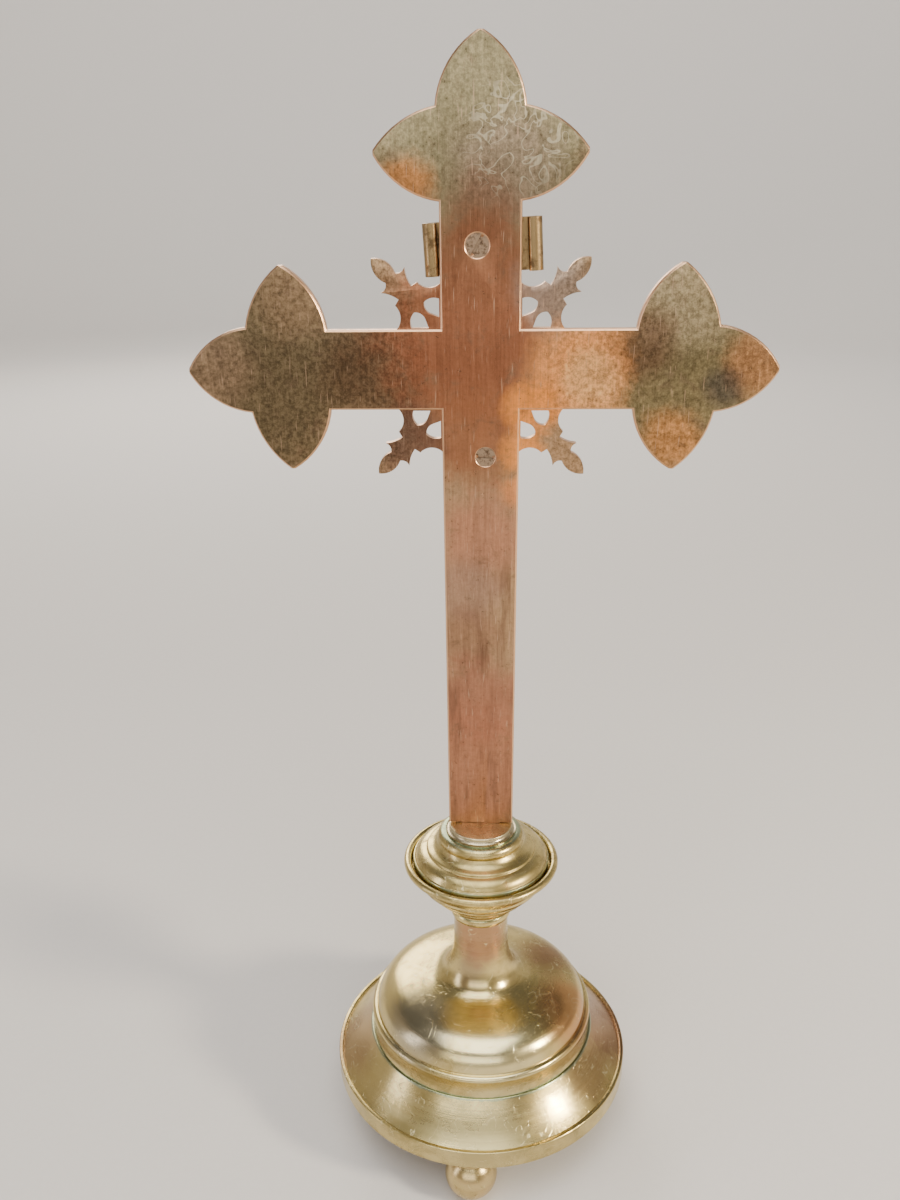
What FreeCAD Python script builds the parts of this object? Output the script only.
import FreeCAD, Part
import math
import os

# Altar cross: a flat cast brass cross with trefoil ends on a turned, three-footed base.
# Frame: +Z up, Z = 0 on the altar top, the Z axis is the axis of the turned pieces.
# The front, with the figure and the scroll, faces -Y. The flat back faces +Y.
# All sizes are in millimetres. "_r" is a radius, "_d" a diameter, "_z" a height above the altar.

# ---- cross plate -------------------------------------------------------------
plate_t = 4.0                # thickness of the casting
bar_w = 26.3                 # width of the arms and of the upright at the crossing
foot_w = 25.2                # width of the upright where it stands on the socket
cross_drop = 178.2           # crossing centre down to the foot of the upright
side_reach = 98.7            # crossing centre to the tip of a side arm
top_reach = 99.9             # crossing centre to the top tip
lobe_root = 47.8             # tip of an arm back to the root of its side lobes
lobe_back = 33.4             # tip of an arm back to the points of its side lobes
lobe_half = 34.0             # arm centreline out to the point of a side lobe
notch_back = 20.6            # tip of an arm back to the notch between its lobes
notch_half = 14.1            # arm centreline out to that notch
root_bow = 3.1               # rise of the curve from the root to the side point
side_bow = 2.3               # rise of the curve from the side point to the notch
tip_bow = 3.2                # rise of the curve from the notch to the tip
point_blunt = 0.5            # taken off each of the nine sharp points
edge_bevel = 0.6             # bevel filed round both faces
tang_w = 15.0                # width of the tang below the foot
tang_l = 13.0                # length of the tang

# ---- fretted rays in the four inner corners ----------------------------------
ray_t = 2.8                  # thickness, thinner than the plate by its two bevels
ray_root_out = 14.5          # corner to the outer side of a ray's strut, along the bar
ray_root_in = 9.7            # corner to the inner side of that strut
ray_hole_low = 3.9           # corner to the near end of a pierced hole
ray_reach = 22.2             # corner to the leaf tip, along each bar
ray_sink = 1.5               # how far the ray's root runs into the bar

# ---- scroll plate on the front of the upper arm ------------------------------
scroll_t = 1.1
scroll_h = 16.2
scroll_half = 19.2           # half of the width over the two curls
scroll_shift = -0.7          # the scroll sits this much off the axis
scroll_up = 38.4             # crossing centre up to the middle of the scroll
scroll_tilt = 3.0            # degrees
curl_r = 2.4                 # middle radius of the outer turn of a curl
curl_inner_r = 1.2           # middle radius of the inner turn
scroll_boss_r = 4.2
scroll_boss_h = 1.4
scroll_screw_up = 39.1       # crossing centre up to the scroll's screw
scroll_screw_side = 1.1
scroll_screw_d = 4.0
scroll_screw_head_d = 7.7
scroll_screw_sunk = 0.35     # head below the back face
scroll_slot_turn = 61.0      # degrees about +Y, from level
scroll_bite = 2.0            # thread length in the scroll's boss

# ---- figure on the front, held by one screw from behind ----------------------
figure_screw_down = 29.4     # crossing centre down to the figure's screw
figure_screw_side = -1.6
figure_screw_d = 3.5
figure_screw_head_d = 6.9
figure_screw_sunk = 0.15
figure_slot_turn = -3.0
figure_bite = 4.5
figure_boss_r = 3.6
figure_depth = 9.6           # plate face to the middle of the body

# ---- screws ------------------------------------------------------------------
slot_w = 0.9
slot_depth = 0.9
screw_clearance = 0.15       # shank to hole in the plate, on the radius

# ---- feet --------------------------------------------------------------------
foot_count = 3
foot_ball_r = 10.5
foot_flat_r = 3.0            # worn flat under each ball
foot_collar_r = 6.3
foot_collar_h = 3.0
foot_inset = 8.5             # rim of the base in to the foot's axis
foot_turn = 87.0             # bearing of the first foot, degrees from +X
foot_stud_d = 5.0
foot_stud_l = 9.0
stud_hole_spare = 1.0        # unfilled depth at the blind end of a tapped hole

# ---- base ring: upright band, sloping top, seat for the dome -----------------
base_r = 62.5
ring_band_h = 7.9
ring_lip_w = 1.5             # flat lip inside the band's top edge
ring_lip_h = 0.4             # the lip stands this much above the start of the slope
ring_h = 20.9
ring_wall = 3.6
ring_slope_dip = 0.7         # hollow of the sloping top
seat_margin = 0.6            # sloping top to dome wall at the seam
flange_t = 3.6
flange_in = 8.0              # dome wall in to the edge of the flange
register_h = 2.4
register_w = 2.2
boss_r = 6.6

# ---- base dome with its neck -------------------------------------------------
dome_r = 47.0
dome_wall = 2.6
dome_wall_h = 8.2            # upright wall below the rounded edge
dome_wall_dip = 0.5          # hollow of that wall
dome_edge_r = 2.2            # rounding of the dome's edge
shoulder_r = 21.5            # where the dome's curve runs into the flare of the neck
shoulder_h = 23.9            # above the seam
shoulder_slope = 15.0        # degrees, shared by both curves where they meet
dome_rise = 12.0             # how far the dome's curve keeps to its upright start
dome_lean = 1.5              # inward lean of that start
shoulder_reach = 10.0        # how far the dome's curve keeps to the slope where it ends
flare_reach = 7.0            # how far the neck's curve keeps to the slope where it starts
neck_reach = 16.0            # how far the neck's curve keeps upright where it ends
neck_r = 11.2                # straight top of the neck
neck_waist_h = 47.0          # where the neck becomes straight, above the seam
neck_top_h = 56.3            # above the seam
neck_top_r = 11.2
neck_cap_t = 6.0             # solid top of the neck

# ---- knop bowl ---------------------------------------------------------------
bowl_foot_r = 12.4
bowl_foot_h = 3.0
bowl_neck_r = 11.7
bowl_h = 27.7
bowl_r = 31.3
bowl_bead_r = 1.6            # half thickness of the rounded rim
bowl_step_r = (16.6, 21.4, 25.6)   # radii of the three turned steps under the bowl
bowl_wall = 3.4
ledge_w = 4.2                # ledge that carries the cap
ledge_drop = 4.2             # rim top down to the ledge
cap_gap = 0.55               # cap to bowl rim, on the radius

# ---- knop cap ----------------------------------------------------------------
cap_h = 16.8                 # ledge up to the socket's seat
cap_edge_h = 4.9             # ledge up to the cap's outer edge
cap_bow = 1.0
cap_ring_r = 21.9            # second ring
cap_ring_h = 9.2             # ledge up to the second ring
cap_bead_r = 2.6             # section radius of the top bead
cap_bead_out = 17.3          # outside radius of the top bead
cap_wall = 3.2

# ---- cross socket ------------------------------------------------------------
socket_seat_r = 14.0
socket_waist_r = 12.0
socket_lip_r = 12.7
socket_h = 3.9               # seat up to the foot of the upright
spigot_r = 9.6
spigot_l = 20.0
tang_gap = 0.15              # tang to mortise, each side
tang_end_gap = 0.6
pin_r = 1.3
pin_down = 6.5               # foot of the upright down to the pin

# ---- tie rod, bar and nut ----------------------------------------------------
rod_d = 6.0
rod_bite = 9.0               # thread length in the socket
rod_tail = 1.6               # rod below the nut
rod_clearance = 0.3          # rod to each bore, on the radius
bar_t = 3.0
bar_width = 15.0
bar_end_gap = 1.0
nut_h = 5.0
nut_across = 10.0

fit_gap = 0.15               # turned registers and spigots, on the radius

# ---- heights that follow -----------------------------------------------------
foot_centre_z = math.sqrt(foot_ball_r ** 2 - foot_flat_r ** 2)
foot_lift = foot_centre_z + math.sqrt(foot_ball_r ** 2 - foot_collar_r ** 2) + foot_collar_h
seam_z = foot_lift + ring_h
neck_top_z = seam_z + neck_top_h
bowl_rim_z = neck_top_z + bowl_h
ledge_z = bowl_rim_z - ledge_drop
socket_seat_z = ledge_z + cap_h
plate_foot_z = socket_seat_z + socket_h
crossing_z = plate_foot_z + cross_drop
face_y = -plate_t / 2        # front face of the plate
back_y = plate_t / 2
foot_pitch_r = base_r - foot_inset
flange_r = dome_r - flange_in
flange_under_z = seam_z - flange_t
bar_under_z = flange_under_z - bar_t
nut_under_z = bar_under_z - nut_h
spigot_end_z = socket_seat_z - spigot_l
inner_rim_r = bowl_r - 2 * bowl_bead_r
cap_r = inner_rim_r - cap_gap


# ---- drawing helpers ---------------------------------------------------------

def section(r, z):
    """Point of a turned section: radius and height."""
    return FreeCAD.Vector(r, 0, z)


def on_plate(x, up):
    """Point of an outline on the plate, measured from the crossing centre."""
    return FreeCAD.Vector(x, 0, crossing_z + up)


def bowed(start, end, bow):
    """Arc step from start to end that bows to the right of the way by bow."""
    run = math.hypot(end[0] - start[0], end[1] - start[1])
    side = ((end[1] - start[1]) / run, (start[0] - end[0]) / run)
    middle = ((start[0] + end[0]) / 2 + side[0] * bow, (start[1] + end[1]) / 2 + side[1] * bow)
    return (middle, end)


def outline(place, start, steps):
    """Closed face. A step is an end point, (point on the arc, end point) or (handle, handle, end)."""
    edges = []
    here = start
    for step in steps + [start]:
        if isinstance(step[0], tuple):
            end = step[-1]
            edges.append(curved(place, here, step))
        else:
            end = step
            edges.append(Part.makeLine(place(*here), place(*end)))
        here = end
    return Part.Face(Part.Wire(edges))


def curved(place, here, step):
    """Arc for a step of two points, sweep with two handles for a step of three."""
    if len(step) == 2:
        through, end = step
        return Part.Arc(place(*here), place(*through), place(*end)).toShape()
    sweep = Part.BezierCurve()
    sweep.setPoles([place(*here)] + [place(*point) for point in step])
    return sweep.toShape()


def turned(start, steps):
    """Solid of revolution about the Z axis."""
    face = outline(section, start, steps)
    return face.revolve(FreeCAD.Vector(0, 0, 0), FreeCAD.Vector(0, 0, 1), 360)


def slab(face, y0, y1):
    """Face drawn on Y = 0, given thickness from y0 to y1."""
    moved = face.translated(FreeCAD.Vector(0, y0, 0))
    return moved.extrude(FreeCAD.Vector(0, y1 - y0, 0))


def post(r, z0, z1, x=0.0, y=0.0):
    """Upright cylinder."""
    return Part.makeCylinder(r, z1 - z0, FreeCAD.Vector(x, y, z0))


def peg(r, y0, y1, x, z):
    """Cylinder along Y from y0 to y1."""
    return Part.makeCylinder(r, y1 - y0, FreeCAD.Vector(x, y0, z), FreeCAD.Vector(0, 1, 0))


def limb(a, ra, b, rb):
    """Tapering limb with a ball at both ends."""
    start = FreeCAD.Vector(*a)
    way = FreeCAD.Vector(*b) - start
    if abs(ra - rb) < 0.01:
        shaft = Part.makeCylinder(ra, way.Length, start, way)
    else:
        shaft = Part.makeCone(ra, rb, way.Length, start, way)
    return [shaft, Part.makeSphere(ra, start), Part.makeSphere(rb, FreeCAD.Vector(*b))]


def joined(shapes):
    """One solid from overlapping shapes."""
    return shapes[0].multiFuse(shapes[1:]).removeSplitter()


def write(shape, node):
    solids = shape.Solids
    bad = [s for s in solids if not s.isValid()]
    print(f"{node}: {len(solids)} solid(s), {shape.Volume / 1000:.2f} cm3" + (" NOT VALID" if bad else ""))
    result = solids[0] if len(solids) == 1 else Part.makeCompound(solids)
    result.exportStep("parts/" + node + ".step")


# ---- cross plate -------------------------------------------------------------

def trefoil(reach):
    """Steps round one arm end, in (along, across), from its lower root to its upper root."""
    half = bar_w / 2
    low_root = (reach - lobe_root, -half)
    low_point = (reach - lobe_back, -lobe_half)
    low_notch = (reach - notch_back, -notch_half)
    tip = (reach, 0.0)
    high_notch = (reach - notch_back, notch_half)
    high_point = (reach - lobe_back, lobe_half)
    high_root = (reach - lobe_root, half)
    return [
        low_root,
        bowed(low_root, low_point, root_bow),
        bowed(low_point, low_notch, side_bow),
        bowed(low_notch, tip, tip_bow),
        bowed(tip, high_notch, tip_bow),
        bowed(high_notch, high_point, side_bow),
        bowed(high_point, high_root, root_bow),
    ]


def quarter(point, turns):
    """Turn a point, or an arc's two points, by quarter turns to the left."""
    if isinstance(point[0], tuple):
        return tuple(quarter(p, turns) for p in point)
    for _ in range(turns):
        point = (-point[1], point[0])
    return point


def plate_outline():
    half = bar_w / 2
    start = (foot_w / 2, -cross_drop)
    steps = [(half, -half)]
    for turns, reach in ((0, side_reach), (1, top_reach), (2, side_reach)):
        steps += [quarter(step, turns) for step in trefoil(reach)]
        steps.append(quarter((half, half), turns))
    steps.append((-foot_w / 2, -cross_drop))
    return start, steps


def blunt_cutters():
    """Blocks that take the sharp ends off the nine lobe points."""
    size = 4.0
    blocks = []
    for turns, reach in ((0, side_reach), (1, top_reach), (2, side_reach)):
        along = reach - lobe_back
        lobes = (
            ((reach, 0.0), (1, 0)),
            ((along, lobe_half), (0, 1)),
            ((along, -lobe_half), (0, -1)),
        )
        for point, way in lobes:
            shift = size / 2 - point_blunt
            middle = quarter((point[0] + way[0] * shift, point[1] + way[1] * shift), turns)
            corner = on_plate(middle[0] - size / 2, middle[1] - size / 2) - FreeCAD.Vector(0, size, 0)
            blocks.append(Part.makeBox(size, 2 * size, size, corner))
    return blocks


def ray():
    """Fretted ray of the upper right corner, drawn from that corner: (along the arm, up the upright)."""
    upper = [
        ((3.9, 13.1), (7.6, 14.8)),
        (9.5, 13.6),
        ((10.9, 16.2), (11.6, 19.4)),
        ((12.7, 18.0), (14.7, 17.7)),
        ((17.2, 21.0), (ray_reach, ray_reach)),
    ]
    start = (-ray_sink, ray_root_out)
    ends = [(0.0, ray_root_out)] + [step[-1] if isinstance(step[0], tuple) else step for step in upper]
    steps = [(0.0, ray_root_out)] + upper
    for i in range(len(upper) - 1, -1, -1):
        back_to = (ends[i][1], ends[i][0])
        step = upper[i]
        if isinstance(step[0], tuple):
            steps.append(((step[0][1], step[0][0]), back_to))
        else:
            steps.append(back_to)
    steps += [(ray_root_out, -ray_sink), (-ray_sink, -ray_sink)]
    hole = [
        (0.4, ray_hole_low),
        (3.1, 4.9),
        ((4.9, 6.3), (5.4, 8.6)),
        ((3.2, 9.9), (0.4, ray_root_in)),
    ]
    return start, steps, hole


def rays():
    corner = bar_w / 2
    start, steps, hole = ray()
    solids = []
    for sx in (1, -1):
        for sz in (1, -1):
            def place(along, up):
                return on_plate(sx * (corner + along), sz * (corner + up))

            def place_flipped(along, up):
                return on_plate(sx * (corner + up), sz * (corner + along))

            body = slab(outline(place, start, steps), -ray_t / 2, ray_t / 2)
            for put in (place, place_flipped):
                body = body.cut(slab(outline(put, hole[0], hole[1:]), -ray_t, ray_t))
            solids.append(body)
    return solids


def countersink(shank_r, head_r, sunk, x, z):
    """Hole through the plate with a seat for a 90 degree head at the back face."""
    hole = peg(shank_r + screw_clearance, face_y - 1, back_y + 1, x, z)
    mouth_r = head_r + sunk
    seat_foot = FreeCAD.Vector(x, back_y - mouth_r, z)
    seat = Part.makeCone(0, mouth_r, mouth_r, seat_foot, FreeCAD.Vector(0, 1, 0))
    return [hole, seat]


def make_cross_plate():
    start, steps = plate_outline()
    face = outline(on_plate, start, steps)
    inset = face.makeOffset2D(-edge_bevel, join=1)
    body = slab(face, face_y + edge_bevel, back_y - edge_bevel)
    for side in (1, -1):
        wide = face.OuterWire.translated(FreeCAD.Vector(0, side * (back_y - edge_bevel), 0))
        narrow = inset.OuterWire.translated(FreeCAD.Vector(0, side * back_y, 0))
        body = body.fuse(Part.makeLoft([wide, narrow], True, True))
    body = body.cut(blunt_cutters())
    tang_corner = FreeCAD.Vector(-tang_w / 2, face_y, plate_foot_z - tang_l)
    tang = Part.makeBox(tang_w, plate_t, tang_l + 1, tang_corner)
    body = body.multiFuse(rays() + [tang]).removeSplitter()
    cutters = countersink(scroll_screw_d / 2, scroll_screw_head_d / 2, scroll_screw_sunk,
                          scroll_screw_side, crossing_z + scroll_screw_up)
    cutters += countersink(figure_screw_d / 2, figure_screw_head_d / 2, figure_screw_sunk,
                           figure_screw_side, crossing_z - figure_screw_down)
    cutters.append(peg(pin_r, face_y - 1, back_y + 1, 0, plate_foot_z - pin_down))
    return body.cut(cutters)


# ---- screws ------------------------------------------------------------------

def make_screw(shank_r, head_r, sunk, x, z, turn, bite):
    """Slotted countersunk screw along Y, head to the back."""
    top_y = back_y - sunk
    seat_l = head_r - shank_r
    head_foot = FreeCAD.Vector(x, top_y - seat_l, z)
    head = Part.makeCone(shank_r, head_r, seat_l, head_foot, FreeCAD.Vector(0, 1, 0))
    shank = peg(shank_r, face_y - bite, top_y - seat_l, x, z)
    slot = Part.makeBox(4 * head_r, slot_depth + 1, slot_w, FreeCAD.Vector(-2 * head_r, 0, -slot_w / 2))
    slot.rotate(FreeCAD.Vector(0, 0, 0), FreeCAD.Vector(0, 1, 0), turn)
    slot.translate(FreeCAD.Vector(x, top_y - slot_depth, z))
    return head.fuse(shank).cut(slot).removeSplitter()


# ---- scroll plate ------------------------------------------------------------

def make_scroll():
    """Blank scroll: a flat ribbon with both ends curled towards the back, on a tapped boss."""
    half_t = scroll_t / 2
    line_y = face_y - scroll_boss_h - half_t
    curl_x = scroll_half - curl_r - half_t
    curl_y = line_y + curl_r
    inner_y = line_y + 2 * curl_r - curl_inner_r
    end_turn = math.radians(170)

    def plan(x, y):
        return FreeCAD.Vector(x, y, 0)

    def curl_point(centre_y, r, turn):
        return (curl_x + r * math.cos(turn), centre_y + r * math.sin(turn))

    def end_steps(side):
        """Outer line out to the end of the curl and the inner line back, for side 1 or -1."""
        level = math.pi / 2
        outer = curl_r + half_t
        inner = curl_r - half_t
        steps = [
            (curl_x, line_y - half_t),
            (curl_point(curl_y, outer, 0), curl_point(curl_y, outer, level)),
            (curl_point(inner_y, curl_inner_r + half_t, (level + end_turn) / 2),
             curl_point(inner_y, curl_inner_r + half_t, end_turn)),
            curl_point(inner_y, curl_inner_r - half_t, end_turn),
            (curl_point(inner_y, curl_inner_r - half_t, (level + end_turn) / 2),
             curl_point(inner_y, curl_inner_r - half_t, level)),
            (curl_point(curl_y, inner, 0), (curl_x, line_y + half_t)),
        ]
        if side < 0:
            steps = mirrored(steps)
        return steps

    def mirrored(steps):
        """The same line for the other end, walked backwards."""
        nodes = [step[-1] if isinstance(step[0], tuple) else step for step in steps]
        back = [(-nodes[-1][0], nodes[-1][1])]
        for i in range(len(steps) - 1, 0, -1):
            end = (-nodes[i - 1][0], nodes[i - 1][1])
            if isinstance(steps[i][0], tuple):
                through = (-steps[i][0][0], steps[i][0][1])
                back.append((through, end))
            else:
                back.append(end)
        return back

    steps = end_steps(1) + end_steps(-1)
    ribbon = outline(plan, steps[0], steps[1:]).extrude(FreeCAD.Vector(0, 0, scroll_h))
    ribbon.translate(FreeCAD.Vector(scroll_shift, 0, crossing_z + scroll_up - scroll_h / 2))
    screw_z = crossing_z + scroll_screw_up
    middle = FreeCAD.Vector(scroll_screw_side, 0, screw_z)
    ribbon.rotate(middle, FreeCAD.Vector(0, 1, 0), scroll_tilt)
    boss = peg(scroll_boss_r, face_y - scroll_boss_h - half_t, face_y, scroll_screw_side, screw_z)
    tapped = peg(scroll_screw_d / 2, face_y - scroll_bite - 0.1, face_y + 1, scroll_screw_side, screw_z)
    return ribbon.fuse(boss).removeSplitter().cut(tapped)


# ---- figure ------------------------------------------------------------------

def make_figure():
    """Plain solid of the small cast figure: size, stance and boss; the finish is modelled elsewhere."""
    body_y = face_y - figure_depth

    def at(x, depth, up):
        return (x, body_y + depth, crossing_z + up)

    rings = []
    for up, half_w, half_d in ((-5.5, 7.5, 4.2), (-13, 10.4, 5.8), (-24, 8.0, 5.2), (-31, 7.4, 4.9),
                               (-38, 9.6, 5.9), (-47, 10.2, 6.1), (-55, 8.8, 5.2)):
        ring = Part.Ellipse(FreeCAD.Vector(0, 0, 0), half_w, half_d).toShape()
        ring.translate(FreeCAD.Vector(*at(0, 0, up)))
        rings.append(Part.Wire([ring]))
    shapes = [Part.makeLoft(rings, True)]
    shapes += limb(at(-2.2, -3.6, 5.4), 5.6, at(-1.9, -4.2, 1.6), 4.6)
    shapes += limb(at(-1.0, -1.4, -2.0), 3.1, at(0, 0, -8), 3.9)
    for side in (1, -1):
        shoulder = at(side * 9.2, 0, -9.0)
        elbow = at(side * 26.5, 1.2, -3.4)
        wrist = at(side * 41.0, 3.8, 2.6)
        hand = at(side * 46.0, 5.0, 5.0)
        shapes += limb(shoulder, 3.9, elbow, 2.8)
        shapes += limb(elbow, 2.8, wrist, 1.9)
        shapes += limb(wrist, 1.9, hand, 2.4)
        hip = at(side * 4.6, 0, -51)
        knee = at(side * 3.9, -4.2, -72)
        ankle = at(side * 2.3, 1.2, -94)
        toes = at(side * 2.0, -2.6, -100.5)
        shapes += limb(hip, 5.3, knee, 3.9)
        shapes += limb(knee, 3.9, ankle, 2.5)
        shapes += limb(ankle, 2.5, toes, 1.9)
    screw_z = crossing_z - figure_screw_down
    shapes.append(peg(figure_boss_r, body_y, face_y, figure_screw_side, screw_z))
    body = joined(shapes)
    tapped = peg(figure_screw_d / 2, face_y - figure_bite - stud_hole_spare, face_y + 1,
                 figure_screw_side, screw_z)
    return body.cut(tapped)


# ---- socket, pin -------------------------------------------------------------

def make_socket():
    seat_edge_h = 0.6
    waist_h = 2.0
    body = turned((0, spigot_end_z), [
        (spigot_r, spigot_end_z),
        (spigot_r, socket_seat_z),
        (socket_seat_r, socket_seat_z),
        (socket_seat_r, socket_seat_z + seat_edge_h),
        (
            (socket_waist_r + 0.3, socket_seat_z + seat_edge_h + 0.4),
            (socket_waist_r, socket_seat_z + waist_h),
        ),
        (socket_lip_r - 0.2, socket_seat_z + waist_h + 0.3),
        ((socket_lip_r, socket_seat_z + waist_h + 0.7), (socket_lip_r - 0.5, socket_seat_z + waist_h + 1.1)),
        ((socket_lip_r * 0.62, plate_foot_z - 0.15), (socket_lip_r * 0.3, plate_foot_z)),
        (0, plate_foot_z),
    ])
    mortise_l = tang_w + 2 * tang_gap
    mortise_t = plate_t + 2 * tang_gap
    mortise_z = plate_foot_z - tang_l - tang_end_gap
    mortise = Part.makeBox(mortise_l, mortise_t, plate_foot_z - mortise_z + 1,
                           FreeCAD.Vector(-mortise_l / 2, -mortise_t / 2, mortise_z))
    crown = Part.makeBox(foot_w + 2, plate_t + 2 * tang_gap, 1.0,
                         FreeCAD.Vector(-foot_w / 2 - 1, -plate_t / 2 - tang_gap, plate_foot_z))
    thread = post(rod_d / 2, spigot_end_z - 1, spigot_end_z + rod_bite + stud_hole_spare)
    cross_hole = peg(pin_r, -socket_seat_r, socket_seat_r, 0, plate_foot_z - pin_down)
    return body.cut([mortise, crown, thread, cross_hole])


def make_tang_pin():
    """Pin through the spigot and the tang, rounded to the spigot so that the cap slides over it."""
    pin = peg(pin_r, -spigot_r - 1, spigot_r + 1, 0, plate_foot_z - pin_down)
    return pin.common(post(spigot_r, spigot_end_z, plate_foot_z))


# ---- knop --------------------------------------------------------------------

def make_cap():
    bead_r = cap_bead_out - cap_bead_r
    bead_z = socket_seat_z - cap_bead_r
    low_z = ledge_z
    edge_z = ledge_z + cap_edge_h
    ring_z = ledge_z + cap_ring_h
    bore_r = spigot_r + fit_gap
    skirt_r = cap_r - cap_wall
    hub_r = bore_r + cap_wall
    cove_start = (
        bead_r + cap_bead_r * math.cos(math.radians(35)),
        bead_z - cap_bead_r * math.sin(math.radians(35)),
    )
    cove_end = (cap_ring_r - 0.9, ring_z + 0.5)
    roof_z = edge_z - cap_wall
    return turned((bore_r, low_z + 3.0), [
        (hub_r, low_z + 3.0),
        (hub_r, ring_z - cap_wall),
        (cap_ring_r - cap_wall, ring_z - cap_wall),
        (skirt_r, roof_z),
        (skirt_r, low_z),
        (cap_r - 0.5, low_z),
        (cap_r, low_z + 0.5),
        (cap_r, edge_z - 0.7),
        ((cap_r - 0.2, edge_z - 0.2), (cap_r - 0.8, edge_z)),
        bowed((cap_r - 0.8, edge_z), (cap_ring_r, ring_z - 0.6), cap_bow),
        ((cap_ring_r - 0.2, ring_z + 0.2), cove_end),
        bowed(cove_end, cove_start, -0.7),
        (
            (
                bead_r + cap_bead_r * math.cos(math.radians(25)),
                bead_z + cap_bead_r * math.sin(math.radians(25)),
            ),
            (bead_r, socket_seat_z),
        ),
        (bore_r, socket_seat_z),
    ])


def make_bowl():
    foot_z = neck_top_z
    bead_mid_r = bowl_r - bowl_bead_r
    bead_mid_z = bowl_rim_z - bowl_bead_r
    rise = (bead_mid_z - bowl_bead_r - foot_z - bowl_foot_h - 1.6) / 4
    start = (rod_d / 2 + rod_clearance, foot_z)
    steps = [
        (bowl_foot_r - 0.4, foot_z),
        ((bowl_foot_r, foot_z + bowl_foot_h / 2), (bowl_foot_r - 0.5, foot_z + bowl_foot_h)),
        (bowl_neck_r, foot_z + bowl_foot_h),
        (bowl_neck_r, foot_z + bowl_foot_h + 1.0),
    ]
    here = (bowl_neck_r, foot_z + bowl_foot_h + 1.0)
    for i, step_r in enumerate(bowl_step_r):
        z = foot_z + bowl_foot_h + 1.0 + rise * (i + 1)
        corner = (step_r, z - 0.5)
        steps.append(bowed(here, corner, 0.5))
        here = (step_r, z + 0.5)
        steps.append(here)
    under_bead = (bead_mid_r, bead_mid_z - bowl_bead_r)
    steps.append(bowed(here, under_bead, -0.4))
    steps += [
        ((bowl_r, bead_mid_z), (bead_mid_r, bowl_rim_z)),
        (inner_rim_r, bead_mid_z),
        (inner_rim_r, ledge_z),
        (inner_rim_r - ledge_w, ledge_z),
        (inner_rim_r - ledge_w, ledge_z - 2.0),
        (bowl_step_r[0], foot_z + bowl_foot_h + bowl_wall + rise + 2.0),
        (start[0], foot_z + bowl_foot_h + bowl_wall + 3.0),
    ]
    return turned(start, steps)


# ---- base --------------------------------------------------------------------

def make_dome():
    wall_top_z = seam_z + dome_wall_h
    edge_top = (dome_r - dome_edge_r, wall_top_z + dome_edge_r * 0.75)
    run = math.cos(math.radians(shoulder_slope))
    fall = math.sin(math.radians(shoulder_slope))
    shoulder = (shoulder_r, seam_z + shoulder_h)
    waist = (neck_r, seam_z + neck_waist_h)
    bore_r = rod_d / 2 + rod_clearance
    inner_r = dome_r - dome_wall
    inner_neck_r = neck_r - dome_wall
    inner_waist = (inner_neck_r, seam_z + neck_waist_h)
    inner_shoulder = (shoulder[0] - dome_wall * fall, shoulder[1] - dome_wall * run)
    inner_edge = (inner_r - dome_edge_r, wall_top_z - dome_wall * 0.5)
    inner_flare_reach = flare_reach + dome_wall / 2
    start = (dome_r, seam_z)
    corner_mid = (dome_r - dome_edge_r * 0.22, wall_top_z + dome_edge_r * 0.45)
    dome_sweep = (
        (edge_top[0] - dome_lean, edge_top[1] + dome_rise),
        (shoulder[0] + shoulder_reach * run, shoulder[1] - shoulder_reach * fall),
        shoulder,
    )
    neck_sweep = (
        (shoulder[0] - flare_reach * run, shoulder[1] + flare_reach * fall),
        (neck_r, waist[1] - neck_reach),
        waist,
    )
    inner_neck_sweep = (
        (inner_neck_r, inner_waist[1] - neck_reach),
        (
            inner_shoulder[0] - inner_flare_reach * run,
            inner_shoulder[1] + inner_flare_reach * fall,
        ),
        inner_shoulder,
    )
    inner_dome_sweep = (
        (
            inner_shoulder[0] + shoulder_reach * run,
            inner_shoulder[1] - shoulder_reach * fall,
        ),
        (inner_edge[0] - dome_lean, inner_edge[1] + dome_rise),
        inner_edge,
    )
    return turned(start, [
        bowed(start, (dome_r, wall_top_z), -dome_wall_dip),
        (corner_mid, edge_top),
        dome_sweep,
        neck_sweep,
        (neck_top_r, neck_top_z),
        (bore_r, neck_top_z),
        (bore_r, neck_top_z - neck_cap_t),
        (inner_neck_r, neck_top_z - neck_cap_t),
        inner_waist,
        inner_neck_sweep,
        inner_dome_sweep,
        (inner_r, wall_top_z - dome_wall - dome_edge_r * 0.5),
        (inner_r, seam_z),
    ])


def ring_top_steps(start):
    """Outer line of the base ring, from the rim's foot up to the seam."""
    lip_z = foot_lift + ring_band_h + ring_lip_h
    slope_start = (base_r - ring_lip_w - 0.3, lip_z - ring_lip_h)
    return [
        (base_r, foot_lift + 0.4),
        (base_r, foot_lift + ring_band_h),
        ((base_r - 0.1, lip_z - 0.12), (base_r - 0.4, lip_z)),
        (base_r - ring_lip_w, lip_z),
        slope_start,
        bowed(slope_start, (dome_r + seat_margin, seam_z), -ring_slope_dip),
    ]


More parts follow.
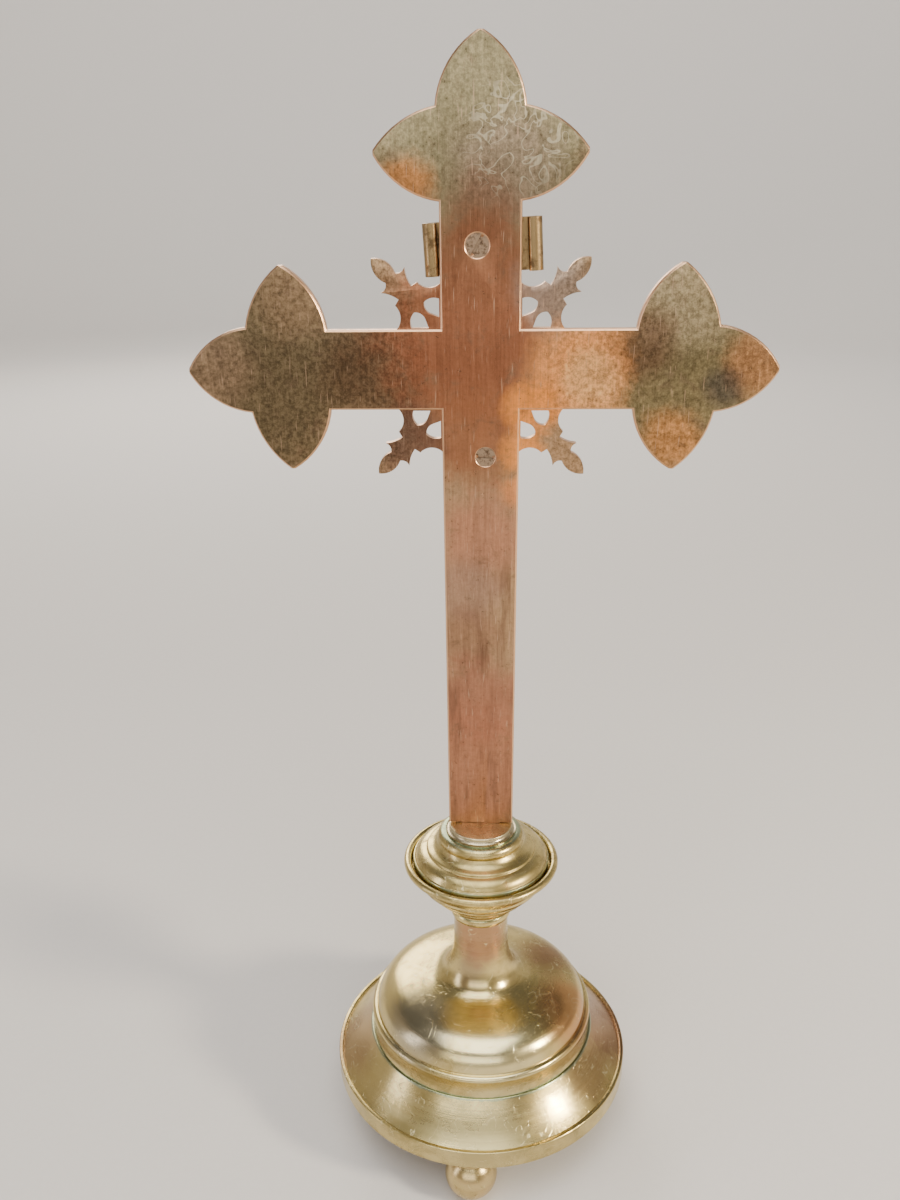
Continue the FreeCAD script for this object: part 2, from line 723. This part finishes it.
def make_ring():
    slope_foot_r = base_r - ring_wall
    inner_r = flange_r
    register_r = dome_r - dome_wall - fit_gap
    start = (base_r - 0.4, foot_lift)
    rim = ring_top_steps(start)
    shell = turned(start, rim + [
        (register_r, seam_z),
        (register_r, seam_z + register_h),
        (register_r - register_w, seam_z + register_h),
        (register_r - register_w, seam_z),
        (inner_r, seam_z),
        (inner_r, flange_under_z),
        (dome_r - 1.0, flange_under_z),
        (slope_foot_r, foot_lift + ring_band_h - ring_wall * 0.3),
        (slope_foot_r, foot_lift),
    ])
    solid_ring = turned(start, rim + [(inner_r, seam_z), (inner_r, foot_lift)])
    bosses = [post(boss_r, foot_lift, seam_z, *place).common(solid_ring) for place in foot_places()]
    body = joined([shell] + bosses)
    holes = [post(foot_stud_d / 2, foot_lift - 1, foot_lift + foot_stud_l + stud_hole_spare, *place)
             for place in foot_places()]
    return body.cut(holes)


def foot_places():
    places = []
    for i in range(foot_count):
        bearing = math.radians(foot_turn + 360.0 * i / foot_count)
        places.append((foot_pitch_r * math.cos(bearing), foot_pitch_r * math.sin(bearing)))
    return places


def make_foot(x, y):
    """Ball foot: worn flat, ball, round collar and stud."""
    collar_z = foot_lift - foot_collar_h
    shape = turned((0, 0), [
        (foot_flat_r, 0),
        ((foot_ball_r, foot_centre_z), (foot_collar_r, collar_z)),
        (foot_collar_r, foot_lift),
        (foot_stud_d / 2, foot_lift),
        (foot_stud_d / 2, foot_lift + foot_stud_l),
        (0, foot_lift + foot_stud_l),
    ])
    shape.translate(FreeCAD.Vector(x, y, 0))
    return shape


def make_tie_bar():
    half_l = dome_r - 1.0 - bar_end_gap
    bar = Part.makeBox(2 * half_l, bar_width, bar_t, FreeCAD.Vector(-half_l, -bar_width / 2, bar_under_z))
    bar = bar.common(post(half_l, bar_under_z, flange_under_z))
    return bar.cut(post(rod_d / 2 + rod_clearance, bar_under_z - 1, flange_under_z + 1))


def make_tie_rod():
    return post(rod_d / 2, nut_under_z - rod_tail, spigot_end_z + rod_bite)


def make_tie_nut():
    corner_r = nut_across / math.sqrt(3)
    corners = []
    for i in range(6):
        turn = math.radians(60 * i)
        corner = (corner_r * math.cos(turn), corner_r * math.sin(turn), nut_under_z)
        corners.append(FreeCAD.Vector(*corner))
    hexagon = Part.Face(Part.makePolygon(corners + [corners[0]]))
    body = hexagon.extrude(FreeCAD.Vector(0, 0, nut_h))
    return body.cut(post(rod_d / 2, nut_under_z - 1, bar_under_z + 1))


# ---- build -------------------------------------------------------------------

os.makedirs("parts", exist_ok=True)
write(make_cross_plate(), "cross_plate")
write(make_scroll(), "titulus_scroll")
write(make_screw(scroll_screw_d / 2, scroll_screw_head_d / 2, scroll_screw_sunk, scroll_screw_side,
                 crossing_z + scroll_screw_up, scroll_slot_turn, scroll_bite), "titulus_screw")
write(make_figure(), "figure")
write(make_screw(figure_screw_d / 2, figure_screw_head_d / 2, figure_screw_sunk, figure_screw_side,
                 crossing_z - figure_screw_down, figure_slot_turn, figure_bite), "figure_screw")
write(make_socket(), "cross_socket")
write(make_tang_pin(), "tang_pin")
write(make_cap(), "knop_cap")
write(make_bowl(), "knop_bowl")
write(make_dome(), "base_dome")
write(make_ring(), "base_ring")
write(make_tie_bar(), "tie_bar")
write(make_tie_rod(), "tie_rod")
write(make_tie_nut(), "tie_nut")
for number, place in enumerate(foot_places(), start=1):
    write(make_foot(*place), f"ball_foot_{number}")
print(f"crossing centre {crossing_z:.1f}, overall height {crossing_z + top_reach:.1f}")
